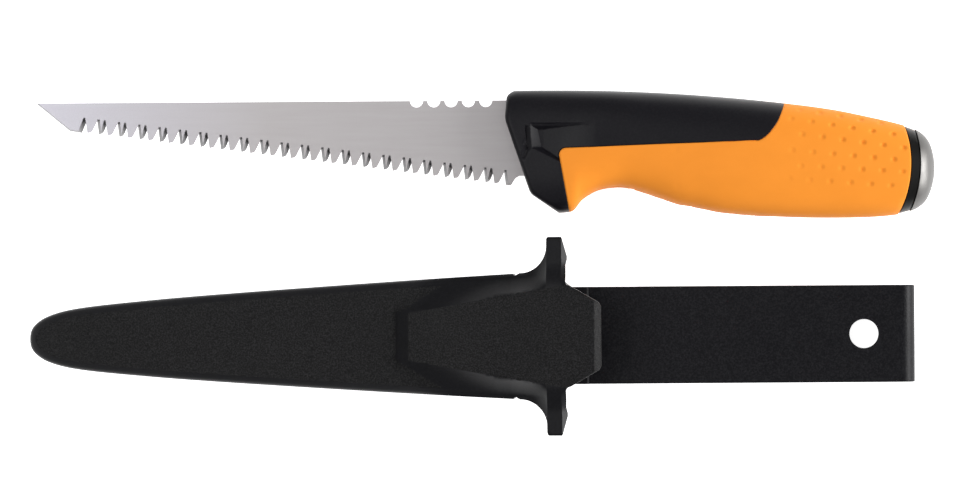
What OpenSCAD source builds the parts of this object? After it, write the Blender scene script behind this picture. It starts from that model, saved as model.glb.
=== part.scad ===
// Drywall saw and its belt sheath, lying side by side.
// Millimetres, +Z up, origin under the middle of the pair on the surface they lie on.
// The saw is drawn in (u, v, t): u runs from the blade's tip to the cap, v up from the straight spine,
// t across the blade. The sheath is drawn in (s, w, h): s from its tip to the mouth, w across, h up from
// its back. Its belt strap lies level, and its body leans on the strap's root and on its own tip.

/* [Blade] */
// Length of the straight spine in front of the handle
blade_len = 152.4; // [152:0.1:153]
// Thickness of the blade and tang
blade_t = 1.4; // [1.0:0.1:2.0]
// Distance from one tooth to the next
tooth_pitch = 3.29; // [3.2:0.01:3.35]
// Number of teeth
tooth_count = 42; // [40:1:42]
// Number of thumb notches in the spine
notch_count = 5; // [3:1:5]

/* [Handle] */
// Overall length of the saw
saw_len = 290.5; // [290.5:0.5:291]
// Thickness of the handle at the palm swell
handle_t = 30; // [28:0.5:32]
// Thickness of the soft grip over the core
grip_skin = 2.4; // [2:0.1:3]
// Radius of the two rivets through the tang
rivet_r = 2; // [1.5:0.1:2.2]

/* [Sheath] */
// Length of the sheath body, tip to mouth
body_len = 175.3; // [175:0.1:176]
// Thickness of the slim part of the body
body_t = 13.5; // [12.5:0.1:14.5]
// Wall of the two shells
wall = 2; // [1.6:0.1:2.4]
// Width of the guard, wing tip to wing tip
guard_w = 64.1; // [60:0.1:66]
// Height of the tongue's top above the sheath's back
tongue_h = 20; // [19.8:0.1:20.4]

/* [Belt strap] */
// Distance from the sheath's tip to the strap's folded end
strap_reach = 287; // [280:0.5:288]
// Width of the strap
strap_w = 31.5; // [28:0.5:32]
// Thickness of the strap
strap_t = 2.3; // [2:0.1:2.4]
// Outside radius of the fold
fold_r = 4.6; // [4.5:0.1:5]
// Radius of the hanging hole
hole_r = 4.7; // [4:0.1:5]

/* [Layout] */
// How far the sheath's tip lies ahead of the blade's tip
tip_lead = 2.7; // [0:0.1:6]
// Distance from the blade's spine to the sheath's middle line
lay_gap = 76.3; // [76:0.1:90]

/* [Hidden] */
$fn = 64;
far = 60;
eps = 0.05;

// Layout of the two halves of the product
handle_top = 3.14;
pair_w = handle_top + lay_gap + guard_w / 2;
sheath_x = -(saw_len + tip_lead) / 2;
sheath_y = guard_w / 2 - pair_w / 2;
saw_x = sheath_x + tip_lead;
saw_y = sheath_y + lay_gap;
saw_z = handle_t / 2;

// Teeth: the line of the tips falls away from the spine, and deep and shallow gullets take turns
tip_slope = -0.1308;
tip_start = -7.51;
tooth_start = 16.95;
tooth_stagger = 0.41;
near_tooth = [[0, 0], [1.15, 0.35], [1.65, 1.0], [2.45, 2.9]];
far_tooth = [[0, 0], [1.35, 0.3], [1.8, 0.95], [3.2, 3.7]];
notch_start = 123.1;
notch_pitch = 5.6;
notch_r = 2.1;

// The tang, from the spine round its end and back to the edge, and the places along it
tang = [[164, 0], [178, -4.5], [284, -18.3], [284, -24.7], [178, -21.5], [170, -24.5]];
rivet_at = [[198, -18.8, 9.2], [246, -19.2, 11.5]];
rivet_head_r = 3.3;
rivet_head_t = 1;
pin_at = [272, -21.5];
pin_r = 1.5;
shank_from = 264;
shank_t = 10;
shank_h = 8;

// The parting faces of collar and cap are rings about this line across the handle
cap_axis = [244.45, -20.8];
collar_r = 38.05;
cap_r = 41.3;

// Side outline of the handle: top line, bottom line and half thickness along u
top_line = [[148, 3.0], [163, 3.14], [186, 2.8], [210, 1.55], [233, -0.5], [256, -3.4], [272, -6.7],
            [281, -9.0], [285, -10.6], [287.6, -12.6], [289.3, -15.4], [290.3, -19.4], [saw_len, -21.6]];
bottom_line = [[148, -37], [168, -36.6], [172.8, -36.2], [174.3, -35.2], [176, -32.8], [178.4, -30.9],
               [182, -29.1], [187, -28.25], [190.7, -28.4], [195.5, -29.7], [204, -32.7], [208, -34.0],
               [213, -34.9], [222, -36.7], [240, -38.2], [260, -38.7], [276, -38.1], [283.5, -36.4],
               [287.4, -33.7], [289.3, -30], [290.3, -26], [saw_len, -23.6]];
half_thick = [[148, 9.4], [158, 10], [175, 11.8], [190, 12.6], [207, 13.6], [234, handle_t / 2],
              [258, 14.7], [276, 13.8], [284, 12.8], [287.6, 10.8], [289.3, 8], [290.3, 4.5],
              [saw_len, 2.5]];
ring_u = [148, 155, 162, 168, 172, 174, 176, 178.6, 183, 187, 192, 197, 202, 208, 215, 224, 234, 246, 258, 268,
          276, 281, 284.4, 287.2, 289.1, 290.2, saw_len];
ring_n = 32;
cap_from = 285;

// The sheath
split_h = 2.2;
blade_h = 7;
bolster_clear = 10.8;
lean = asin((2 * fold_r + bolster_clear - blade_h) / body_len);
rim_h = body_t - 2.2;
side_wall = 2.6;
mean_half = 16;
tip_shift = rim_h * sin(lean);
guard_s = body_len - 7;
rim_end = 154.6;
guard_drop = 3;
guard_rise = tongue_h - 2.6;
pad_s = body_len - 56.4;
pad_foot = 4.5;
notch_s = body_len - 17.2;
tongue_end = body_len + 10.6;
seat_s = 146;
seat_t = 9;
lip_from = 160;
lip_s = 180.5;
lip_t = 1.3;
leg_end = 192;
leg_gap = 0.6;
fold_s = strap_reach - fold_r;
hole_s = 270.4;
hole_leg_r = hole_r + 0.5;
strap_rivets = [[158, 9], [158, -9]];
strap_rivet_r = 2;
strap_rivet_top = 13.7;
side_line = [[0, 0], [0.35, 2.5], [2.2, 5.1], [6.1, 7.45], [14, 9.6], [37, 12.2], [88, 16], [rim_end, 20.1]];

// ---- helpers ----

// Slope of a chain of [x, y] points at point i, from its neighbours
function slope(p, i) = let (a = max(i - 1, 0), b = min(i + 1, len(p) - 1)) (p[b].y - p[a].y) / (p[b].x - p[a].x);

// Smooth line through [x, y] points, read at x
function index_at(p, x, i = 0) = i >= len(p) - 2 || x < p[i + 1].x ? i : index_at(p, x, i + 1);
function line_at(p, x) =
    let (i = index_at(p, x), d = p[i + 1].x - p[i].x, f = min(max((x - p[i].x) / d, 0), 1))
    p[i].y * (1 + 2 * f) * (1 - f) * (1 - f) + slope(p, i) * d * f * (1 - f) * (1 - f)
    + p[i + 1].y * f * f * (3 - 2 * f) - slope(p, i + 1) * d * f * f * (1 - f);

// Smooth closed-form curve through loose points, n steps between each pair
function tangent(p, i) =
    let (a = max(i - 1, 0), b = min(i + 1, len(p) - 1))
    (p[b] - p[a]) / (norm(p[i] - p[a]) + norm(p[b] - p[i]));
function curve(p, n) = concat([for (i = [0 : len(p) - 2], k = [0 : n - 1])
    let (f = k / n, d = norm(p[i + 1] - p[i]))
    p[i] * (1 + 2 * f) * (1 - f) * (1 - f) + tangent(p, i) * d * f * (1 - f) * (1 - f)
    + p[i + 1] * f * f * (3 - 2 * f) - tangent(p, i + 1) * d * f * f * (1 - f)], [p[len(p) - 1]]);

function arc(c, r, from, to, n) = [for (k = [0 : n]) let (a = from + (to - from) * k / n)
    c + r * [cos(a), sin(a)]];
function mirrored(p) = concat(p, [for (i = [len(p) - 1 : -1 : 0]) if (p[i].y > 0) [p[i].x, -p[i].y]]);

// Closed solid through rings of points that have the same count, all turning the same way
module skin(rings) {
    n = len(rings[0]);
    last = len(rings) - 1;
    polyhedron(
        points = [for (r = rings, p = r) p],
        faces = concat(
            [[for (k = [n - 1 : -1 : 0]) k]],
            [for (i = [0 : last - 1], k = [0 : n - 1])
                [i * n + k, (i + 1) * n + (k + 1) % n, (i + 1) * n + k]],
            [for (i = [0 : last - 1], k = [0 : n - 1])
                [i * n + k, i * n + (k + 1) % n, (i + 1) * n + (k + 1) % n]],
            [[for (k = [0 : n - 1]) last * n + k]]));
}

module on_saw() { translate([saw_x, saw_y, saw_z]) children(); }
module on_strap() { translate([sheath_x, sheath_y, 0]) children(); }
module on_body() { translate([sheath_x + tip_shift, sheath_y, 0]) rotate([0, -lean, 0]) children(); }
module across(t) { translate([0, 0, -t / 2]) linear_extrude(t) children(); }

// ---- saw ----

function tip_v(u) = tip_start + tip_slope * u;

// One tooth: steep front flank, short slanting crown, raked back flank that ends in the next gullet.
// Odd teeth are ground on the near face and end in a shallow gullet, even ones in a deep one.
function tooth(i) =
    let (odd = i % 2 == 1, u = tooth_start + i * tooth_pitch - (odd ? 0 : tooth_stagger))
    [for (p = odd ? near_tooth : far_tooth) [u + p.x, tip_v(u) + p.y]];

module tang_outline() {
    polygon(concat([[148, 0]], tang, [[148, -24.5]]));
}

module saw_blade() {
    color("silver") on_saw() difference() {
        across(blade_t) difference() {
            polygon(concat([[0, 0], [10.9, -9], [14.75, -9.6], [16.11, -6.4]],
                           [for (i = [0 : tooth_count - 1]) each tooth(i)],
                           [[156, -24.5]], [for (i = [len(tang) - 1 : -1 : 0]) tang[i]]));
            for (i = [0 : notch_count - 1])
                translate([notch_start + i * notch_pitch, 0]) circle(notch_r);
        }
        for (p = rivet_at) translate([p.x, p.y, 0]) cylinder(h = far, r = rivet_r, center = true);
        translate(pin_at) cylinder(h = far, r = pin_r, center = true);
    }
}

// One cross-section of the handle at u, made smaller all round by inset
function ring(u, inset) =
    let (top = line_at(top_line, u) - inset, low = line_at(bottom_line, u) + inset,
         half = line_at(half_thick, u) - inset, power = u < 190 ? 0.62 : 0.72)
    [for (k = [0 : ring_n - 1]) let (a = 360 * (k + 0.5) / ring_n, c = cos(a), s = sin(a))
        [u, (top + low) / 2 + (top - low) / 2 * sign(s) * pow(abs(s), power) / pow(cos(180 / ring_n), power),
         half * sign(c) * pow(abs(c), power) / pow(cos(180 / ring_n), power)]];

module handle_form(inset = 0) {
    skin([for (u = ring_u) if (inset < 1 || u < cap_from) ring(u, inset)]);
}

// Side view of what lies behind the slanting front of the bolster
module bolster_outline() {
    polygon([[blade_len - 0.5, -6.5], [blade_len - 0.1, -1], [blade_len + 2.9, 3.8], [far * 5, 3.8],
             [far * 5, -45], [172, -45], [172, -36.3], [169, -36.4], [159.8, -30.2]]);
}

// Side view of the part of the handle that the soft grip covers
module grip_outline() {
    polygon(concat([[174, -45], [172.3, -36.1], [169.2, -18.8]],
                   arc([171.3, -17.8], 2.2, 200, 92, 6),
                   [[200, -14.7], [233.9, -13.6], [235.6, -12.6], [237.6, -10.6], [239.6, -7.8],
                    [241.2, -4.5], [242.5, 10],
                    [far * 5, 10], [far * 5, -45]]));
}

module before(r) { translate(cap_axis) cylinder(h = far * 2, r = r, center = true, $fn = 128); }
module ahead_of_axis() { translate([100, -60, -far]) cube([cap_axis.x - 100, 80, far * 2]); }
module ends_at(r) { before(r); ahead_of_axis(); }

module rivet_holes() {
    for (p = rivet_at) translate([p.x, p.y, 0]) {
        cylinder(h = far, r = rivet_r, center = true);
        for (turn = [0, 180]) rotate([turn, 0, 0])
            translate([0, 0, p.z - rivet_head_t]) cylinder(h = far, r = rivet_head_r);
    }
    translate(pin_at) cylinder(h = far, r = pin_r, center = true);
}

// The notch that the sheath's catch drops into: a long ramp, and a steep face that holds
module catch_notch() {
    translate([0, -8, 10.35]) rotate([90, 0, 0])
        linear_extrude(9) polygon([[159.9, 2], [159.9, 0.1], [163.3, -1.5], [178, 2]]);
}

module core() {
    difference() {
        union() {
            difference() {
                intersection() {
                    handle_form();
                    across(far) difference() { bolster_outline(); grip_outline(); }
                }
                catch_notch();
            }
            intersection() {
                handle_form(grip_skin);
                across(far) intersection() { bolster_outline(); grip_outline(); }
                ends_at(collar_r);
            }
        }
        across(blade_t) tang_outline();
        translate([shank_from - 0.2, pin_at.y - shank_h / 2, -shank_t / 2]) cube([40, shank_h, shank_t]);
        rivet_holes();
    }
}

module handle_core_left() {
    color([0.12, 0.11, 0.13]) on_saw() intersection() {
        core();
        translate([100, -60, 0]) cube([220, 80, far]);
    }
}

module handle_core_right() {
    color([0.14, 0.13, 0.15]) on_saw() intersection() {
        core();
        translate([100, -60, -far]) cube([220, 80, far]);
    }
}

module core_rivets() {
    color("gray") on_saw() for (p = rivet_at) translate([p.x, p.y, 0]) {
        cylinder(h = 2 * p.z - rivet_head_t, r = rivet_r, center = true);
        for (side = [-1, 1]) translate([0, 0, side * (p.z - rivet_head_t / 2)])
            cylinder(h = rivet_head_t, r = rivet_head_r, center = true);
    }
}

module soft_grip() {
    color([0.96, 0.58, 0.18]) on_saw() difference() {
        intersection() {
            handle_form();
            across(far) grip_outline();
            ends_at(collar_r);
        }
        handle_form(grip_skin);
    }
}

module cap_collar() {
    color([0.1, 0.1, 0.1]) on_saw() difference() {
        intersection() {
            handle_form(0.15);
            before(cap_r);
            translate([cap_axis.x, -60, -far]) cube([60, 80, far * 2]);
        }
        before(collar_r);
        translate([shank_from, pin_at.y - shank_h / 2, -shank_t / 2]) cube([60, shank_h, shank_t]);
    }
}

module strike_cap() {
    color([0.68, 0.66, 0.65]) on_saw() difference() {
        union() {
            difference() {
                intersection() {
                    handle_form();
                    translate([cap_axis.x, -60, -far]) cube([60, 80, far * 2]);
                }
                before(cap_r);
            }
            translate([shank_from, pin_at.y - shank_h / 2, -shank_t / 2])
                cube([cap_axis.x + cap_r - shank_from + 1, shank_h, shank_t]);
        }
        across(blade_t) tang_outline();
        translate(pin_at) cylinder(h = far, r = pin_r, center = true);
    }
}

module cap_pin() {
    color("dimgray") on_saw() translate(pin_at) cylinder(h = 22, r = pin_r, center = true);
}

// ---- sheath ----

// Half width of the body's rim at s
function rim(s) = line_at([for (p = side_line) [sqrt(p.x), p.y]], sqrt(s));

// The body's outline at height h, drawn in by inset all round the tip and sides
function body_ring(inset, h) = [for (p = mirrored(curve(side_line, 4)))
    [inset + p.x * (1 - inset / rim_end), p.y * (1 - inset / mean_half), h]];

// Plan of the guard: fillet from the body, wing, and the mouth's face
module guard_plan() {
    polygon(mirrored(concat(
        [[150, 19.8], [notch_s - 0.9, 20.2], [notch_s, 19.8], [notch_s + 0.9, 20.3]],
        arc([guard_s - 8.8, 29.2], 8.8, -86, 0, 8),
        [[guard_s, guard_w / 2 - 1]],
        arc([guard_s + 0.8, guard_w / 2 - 0.8], 0.8, 180, 90, 3),
        [[body_len - 2.1, guard_w / 2], [body_len - 0.2, 25.3], [body_len - 0.8, 23],
         [body_len - 0.8, 17.4], [body_len, 15.75]])));
}

module tongue_plan() {
    polygon(mirrored([[150, 12.6], [guard_s, 15.6], [body_len - 0.6, 17.2], [body_len + 2.1, 15.4],
                      [tongue_end - 0.7, 10.9], [tongue_end, 9.6]]));
}

// The raised pad: a steep foot, then a face that rises to the tongue
function pad_ring(s, w, top) = [[s, -w, top], [s, w, top], [s, w + 1, split_h], [s, -w - 1, split_h]];
module pad_form() {
    skin([pad_ring(pad_s, 7.7, body_t - 0.4), pad_ring(pad_s + pad_foot, 7.6, body_t + 2.2),
          pad_ring(140, 10.6, body_t + 3.9), pad_ring(154, 13.2, body_t + 5.2),
          pad_ring(guard_s, 15.5, tongue_h - 0.3), pad_ring(body_len - 1, 15.5, tongue_h)]);
}

// The hollow for the blade, and the higher part of it under the pad and tongue
function hollow_ring(s, w, low, high) = [[s, -w, high], [s, w, high], [s, w, low], [s, -w, low]];
module hollow() {
    skin([hollow_ring(12, 5, 0, body_t - wall - 2.4),
          hollow_ring(20, rim(20) - side_wall, 0, body_t - wall - 0.6),
          hollow_ring(40, rim(40) - side_wall, 0, body_t - wall),
          hollow_ring(88, rim(88) - side_wall, 0, body_t - wall),
          hollow_ring(128, 14.4, 0, body_t - wall),
          hollow_ring(body_len + 20, 14.6, 0, body_t - wall)]);
    skin([hollow_ring(pad_s + 8, 4.5, wall + 3, body_t - wall - 0.5),
          hollow_ring(140, 8, wall + 3, body_t + 1.6),
          hollow_ring(154, 10.9, wall + 3, body_t + 2.9),
          hollow_ring(guard_s, 13.2, wall + 3, guard_rise),
          hollow_ring(body_len + 20, 14.5, wall + 3, guard_rise)]);
}

module sheath_front_shell() {
    color([0.14, 0.14, 0.15]) on_body() {
        front_form();
        catch_rib();
    }
}

module front_form() {
    difference() {
        union() {
            skin([body_ring(0, split_h), body_ring(0, rim_h), body_ring(2.2, body_t)]);
            pad_form();
            translate([0, 0, split_h]) linear_extrude(guard_rise - split_h) guard_plan();
            intersection() {
                translate([0, 0, guard_rise - eps]) linear_extrude(10) tongue_plan();
                pad_slope();
            }
        }
        hollow();
    }
}

// The catch is a low round rib across the tongue's underside
module catch_rib() {
    translate([tongue_end - 3.4, 0, guard_rise]) rotate([90, 0, 0]) cylinder(h = 8, r = 1.2, center = true);
}

// Everything below the pad's rising face, carried on to the tongue's end
module pad_slope() {
    translate([0, far / 2, 0]) rotate([90, 0, 0]) linear_extrude(far)
        polygon([[140, 0], [190, 0], [190, tongue_h], [body_len - 1, tongue_h], [guard_s, tongue_h - 0.3],
                 [154, body_t + 5.2], [140, body_t + 3.9]]);
}

module sheath_back_shell() {
    color([0.12, 0.12, 0.13]) difference() {
        union() {
            on_body() {
                skin([body_ring(2, 0), body_ring(0, split_h - 0.4), body_ring(0, split_h)]);
                translate([0, 0, -guard_drop]) linear_extrude(split_h + guard_drop) guard_plan();
                translate([seat_s, -strap_w / 2, 1 - seat_t]) cube([body_len - seat_s, strap_w, seat_t]);
            }
            on_strap() translate([lip_from, -strap_w / 2, 2 * fold_r - 1])
                cube([lip_s - lip_from, strap_w, lip_t + 1]);
        }
        on_strap() {
            translate([seat_s - 6, -far / 2, -10]) cube([far, far, 2 * fold_r + 10]);
            for (p = strap_rivets) translate([p.x, p.y, 0]) cylinder(h = 20, r = strap_rivet_r);
        }
    }
}

// Side view of the strap and its fold
module hanger_profile() {
    polygon(concat([[seat_s, 2 * fold_r - strap_t], [seat_s, 2 * fold_r]],
                   arc([fold_s, fold_r], fold_r, 90, -90, 24),
                   arc([fold_s, fold_r], fold_r - strap_t, -90, 90, 24)));
}

module belt_hanger() {
    color([0.09, 0.09, 0.1]) on_strap() difference() {
        translate([0, strap_w / 2, 0]) rotate([90, 0, 0]) linear_extrude(strap_w) hanger_profile();
        translate([hole_s, 0, 0]) cylinder(h = 30, r = hole_r);
        for (p = strap_rivets) translate([p.x, p.y, 0]) cylinder(h = 20, r = strap_rivet_r);
    }
}

// Side view of the clip leg, with the lip that keeps a belt in
module leg_profile() {
    polygon(concat([[fold_s - leg_gap, 0], [fold_s - leg_gap, strap_t]],
                   arc([leg_end + 6, strap_t - 0.6], 2.2, 16, 164, 10),
                   [[leg_end, strap_t], [leg_end, 0.9], [leg_end + 1, 0]]));
}

module belt_clip_leg() {
    color([0.1, 0.1, 0.11]) on_strap() difference() {
        translate([0, strap_w / 2, 0]) rotate([90, 0, 0]) linear_extrude(strap_w) leg_profile();
        translate([hole_s, 0, 0]) cylinder(h = 30, r = hole_leg_r, center = true);
        for (side = [-1, 1]) translate([leg_end, side * strap_w / 2, 0]) rotate([0, 0, 45])
            cube([7, 7, far], center = true);
    }
}

module hanger_rivets() {
    color("gray") on_strap() for (p = strap_rivets) translate([p.x, p.y, 2 * fold_r - strap_t]) {
        cylinder(h = strap_rivet_top - 2 * fold_r + strap_t, r = strap_rivet_r);
        translate([0, 0, -1.1]) cylinder(h = 1.1, r = 3.8);
    }
}

saw_blade();
handle_core_left();
handle_core_right();
core_rivets();
soft_grip();
cap_collar();
strike_cap();
cap_pin();
sheath_front_shell();
sheath_back_shell();
belt_hanger();
belt_clip_leg();
hanger_rivets();
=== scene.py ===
"""Looks of the drywall saw and its belt sheath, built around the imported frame.

Shapes are worked out in millimetres. The saw is drawn in (u, v, t): u from the blade's tip, v up from its
spine, t across it. The sheath is drawn in (s, w, h): s from its tip, w across, h up from its back. Its strap
lies level, and its body leans on its own tip, as in the CAD model.
"""

import math

import bmesh
import bpy
import numpy as np
from mathutils import Matrix, Vector


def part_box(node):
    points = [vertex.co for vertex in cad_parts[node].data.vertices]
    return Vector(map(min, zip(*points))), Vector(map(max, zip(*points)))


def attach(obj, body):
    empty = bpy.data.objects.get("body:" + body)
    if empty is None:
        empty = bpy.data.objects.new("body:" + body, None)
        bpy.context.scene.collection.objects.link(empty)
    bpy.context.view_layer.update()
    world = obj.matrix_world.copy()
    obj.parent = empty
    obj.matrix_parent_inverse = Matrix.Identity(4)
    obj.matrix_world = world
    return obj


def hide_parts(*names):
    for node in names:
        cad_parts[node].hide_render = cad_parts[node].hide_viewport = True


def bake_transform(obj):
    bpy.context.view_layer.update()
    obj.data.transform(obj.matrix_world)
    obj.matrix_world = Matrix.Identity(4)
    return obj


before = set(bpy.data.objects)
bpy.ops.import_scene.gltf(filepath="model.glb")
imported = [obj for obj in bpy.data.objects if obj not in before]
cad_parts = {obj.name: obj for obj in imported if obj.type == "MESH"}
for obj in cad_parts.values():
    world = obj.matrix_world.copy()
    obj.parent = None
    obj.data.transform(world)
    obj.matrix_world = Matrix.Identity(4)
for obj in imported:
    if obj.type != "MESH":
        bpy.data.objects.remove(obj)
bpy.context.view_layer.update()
MM = 0.001

# ---- blade ----
BLADE_HALF = 0.7
TOOTH_PITCH = 3.29
TOOTH_COUNT = 42
TOOTH_START = 16.95
TOOTH_STAGGER = 0.41
TIP_START = -7.51
TIP_SLOPE = -0.1308
# Outline of a tooth from the corner of its point: the blunt end, its far corner, then the next gullet.
GROUND_NEAR = [(1.15, 0.35), (1.65, 1.0), (2.45, 2.9)]
GROUND_FAR = [(1.35, 0.3), (1.8, 0.95), (3.2, 3.7)]
# Tops of a tooth's ground facets, from its point's corner. The ones behind have their u from the gullet.
FACET_AHEAD = [(-0.45, 4.85), (0.3, 4.85), (0.75, 0.9)]
FACET_BEHIND = [(-0.8, 4.65), (-0.2, 4.6)]
# Each tooth has faces of its own up to a line this far above the line of the points.
SHOULDER = 6.0
# The slanting tip: its lower corner, the corner behind that, and the facets and bevel of its near face.
TIP_CORNER = (10.9, -9.0)
TIP_HEEL = (14.75, -9.6)
TIP_FACET = [(13.8, -9.0), (15.25, -4.9), (15.85, -4.6)]
BEVEL_TOP = (0.71, 0.0)
BEVEL_FOOT = (11.0, -8.55)
NOTCH_START = 123.1
NOTCH_PITCH = 5.6
NOTCH_R = 2.1
NOTCH_COUNT = 5
HEEL = [(153.5, -27.5), (154.9, -25.3), (156.2, -24.45)]
TANG = [(170, -24.45), (178, -21.5), (284, -24.7), (284, -18.3), (178, -4.5), (164, 0)]

# ---- handle ----
TOP_LINE = [(148, 3.0), (163, 3.14), (186, 2.8), (210, 1.55), (233, -0.5), (256, -3.4), (272, -6.7),
            (281, -9.0), (285, -10.6), (287.6, -12.6), (289.3, -15.4), (290.3, -19.4), (290.5, -21.6)]
BOTTOM_LINE = [(148, -37), (168, -36.6), (172.8, -36.2), (174.3, -35.2), (176, -32.8), (178.4, -30.9),
               (182, -29.1), (187, -28.25), (190.7, -28.4), (195.5, -29.7), (204, -32.7), (208, -34.0),
               (213, -34.9), (222, -36.7), (240, -38.2), (260, -38.7), (276, -38.1), (283.5, -36.4),
               (287.4, -33.7), (289.3, -30), (290.3, -26), (290.5, -23.6)]
HALF_THICK = [(148, 9.4), (158, 10), (175, 11.8), (190, 12.6), (207, 13.6), (234, 14.93), (258, 14.7),
              (276, 13.8), (284, 12.8), (287.6, 10.8), (289.3, 8), (290.3, 4.5), (290.5, 2.5)]
GRIP_SKIN = 2.4
SEAM_FOOT_U = 172.3
SEAM_END_U = 242.0
FRONT_FOOT_U = 169.0
POCKET_DEPTH = 2.0
POCKET_CREST = 159.8
POCKET_END = 181
POCKET_TOP = -8.0
FRONT_TOP_U = 154.7
CAP_AXIS = (244.45, -20.8)
COLLAR_R = 38.05
CAP_R = 41.3
SHANK_V = -21.5
SHANK_FROM = 264
SHANK_HALF = (4, 5)
CAP_END = 290.5
# The core runs this far under the grip's edge, and rows of points close to the seam lie this far from it.
UNDER_LAP = 0.06
SEAM_ROWS = np.array([0.5, 0.3, 0.15, 0.05, 0.0])
# Steps along the seam's left run, its corner and the rest of it, and points in a ring of the collar or cap.
LEFT_CUTS, CORNER_CUTS, TOP_CUTS = 34, 8, 92
RING_N = 128
DIMPLE_PITCH = 6.55
DIMPLE_SIZE = (1.25, 0.85)
DIMPLE_DEPTH = 0.85
# Each row of dimples: u of its second one, v at u = 250, and its slope along the handle.
DIMPLE_ROWS = [(253.3, -4.3, -0.170), (250.5, -7.6, -0.162), (253.9, -12.1, -0.139),
               (250.7, -17.4, -0.096), (253.5, -22.1, -0.062), (249.7, -26.5, -0.072)]

# ---- sheath ----
BODY_LEN = 175.3
BODY_T = 13.5
WALL = 2
RIM_H = 11.3
SPLIT_H = 2.2
SIDE_LINE = [(0, 0), (0.35, 2.5), (2.2, 5.1), (6.1, 7.45), (14, 9.6), (37, 12.2), (88, 16), (154.6, 20.1)]
GUARD_S = 168.3
GUARD_HALF = 32.05
GUARD_RISE = 17.4
GUARD_DROP = 3
WING_CORNER = 0.8
WING_END = 0.6
BORDER = 2.4
SIDE_WALL = 2.6
PAD_S = 118.9
PAD_LINE = [(PAD_S + 0.05, BODY_T), (PAD_S + 0.4, BODY_T - 0.3), (123.2, BODY_T + 2.2),
            (123.6, BODY_T + 2.35), (140, BODY_T + 3.9), (154, BODY_T + 5.2), (GUARD_S, 19.7),
            (174.3, 20.0), (190, 20.0)]
TONGUE_END = 185.9
TONGUE_SIDE = [(BODY_LEN, 16.6), (177.4, 15.4), (185.2, 10.9), (TONGUE_END, 9.6)]
CATCH_R = 1.2
STRAP_HALF = 15.75
STRAP_T = 2.3
FOLD_R = 4.6
STRAP_REACH = 287.0
FOLD_S = STRAP_REACH - FOLD_R
SEAT_S = 146
LIP_S = 180.5
LIP_T = 1.3
HOLE_S = 270.4
HOLE_R = 4.7
HOLE_LEG_R = 5.2
# Half side of the square of strap round each hole, where the points run in rings about the hole.
HOLE_SQUARE = 8
LEG_END = 192
CORNER_CUT = 4.95
LEG_START = FOLD_S + math.pi * (FOLD_R - STRAP_T / 2)
BAND_END = LEG_START + FOLD_S - LEG_END
LEG_HOLE = LEG_START + FOLD_S - HOLE_S
# At the mouth, the body's back lies this far above the strap.
BACK_RISE = 3.8
LEAN = math.asin((2 * FOLD_R + BACK_RISE) / BODY_LEN)
TIP_SHIFT = RIM_H * math.sin(LEAN)


# ---------- places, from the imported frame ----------

def saw_place():
    """Takes the saw's (u, v, t) to the frame."""
    lo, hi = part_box("saw_blade")
    return Matrix.Translation((lo.x, hi.y, (lo.z + hi.z) / 2)) @ Matrix.Scale(MM, 4)


def strap_place():
    """Takes the strap's (s, w, height above the table) to the frame."""
    lo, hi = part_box("belt_hanger")
    return Matrix.Translation((hi.x - STRAP_REACH * MM, (lo.y + hi.y) / 2, lo.z)) @ Matrix.Scale(MM, 4)


SAW = saw_place()
STRAP = strap_place()
BODY = STRAP @ Matrix.Translation((TIP_SHIFT, 0, 0)) @ Matrix.Rotation(-LEAN, 4, "Y")


# ---------- curves ----------

def line_at(points, x):
    """Smooth line through (x, y) points, read at x."""
    p = np.array(points, float)
    x = np.asarray(x, float)
    before, after = np.maximum(np.arange(len(p)) - 1, 0), np.minimum(np.arange(len(p)) + 1, len(p) - 1)
    slope = (p[after, 1] - p[before, 1]) / (p[after, 0] - p[before, 0])
    i = np.clip(np.searchsorted(p[:, 0], x, side="right") - 1, 0, len(p) - 2)
    d = p[i + 1, 0] - p[i, 0]
    f = np.clip((x - p[i, 0]) / d, 0, 1)
    rise = p[i, 1] * (1 + 2 * f) * (1 - f) ** 2 + p[i + 1, 1] * f * f * (3 - 2 * f)
    return rise + slope[i] * d * f * (1 - f) ** 2 - slope[i + 1] * d * f * f * (1 - f)


def arc(centre, r, start, end, n):
    """n + 1 points on a circle, from one angle to another in degrees."""
    turns = np.radians(np.linspace(start, end, n + 1))
    return [(centre[0] + r * math.cos(a), centre[1] + r * math.sin(a)) for a in turns]


def rounded(points, radii, n=5):
    """A chain of points with its corners rounded off by the given radii."""
    out = [points[0]]
    for a, p, b, r in zip(points, points[1:], points[2:], radii):
        a, p, b = (np.array(q, float) for q in (a, p, b))
        start = p + (a - p) / np.linalg.norm(a - p) * r
        end = p + (b - p) / np.linalg.norm(b - p) * r
        for k in range(n + 1):
            f = k / n
            out.append(tuple((1 - f) ** 2 * start + 2 * f * (1 - f) * p + f * f * end))
    return out + [points[-1]]


def smoothed(points, n=6):
    """Smooth curve through loose points, n steps between each pair."""
    p = np.array(points, float)
    length = np.linalg.norm(np.diff(p, axis=0), axis=1)
    at = np.concatenate([[0], np.cumsum(length)])
    fine = np.concatenate([np.linspace(a, b, n, endpoint=False) for a, b in zip(at, at[1:])] + [at[-1:]])
    return np.stack([line_at(np.stack([at, p[:, k]], 1), fine) for k in (0, 1)], 1)


def along(points, shares):
    """Points at the given shares of a chain's length."""
    p = np.array(points, float)
    at = np.concatenate([[0], np.cumsum(np.linalg.norm(np.diff(p, axis=0), axis=1))])
    want = np.asarray(shares) * at[-1]
    return np.stack([np.interp(want, at, p[:, k]) for k in (0, 1)], 1)


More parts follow.
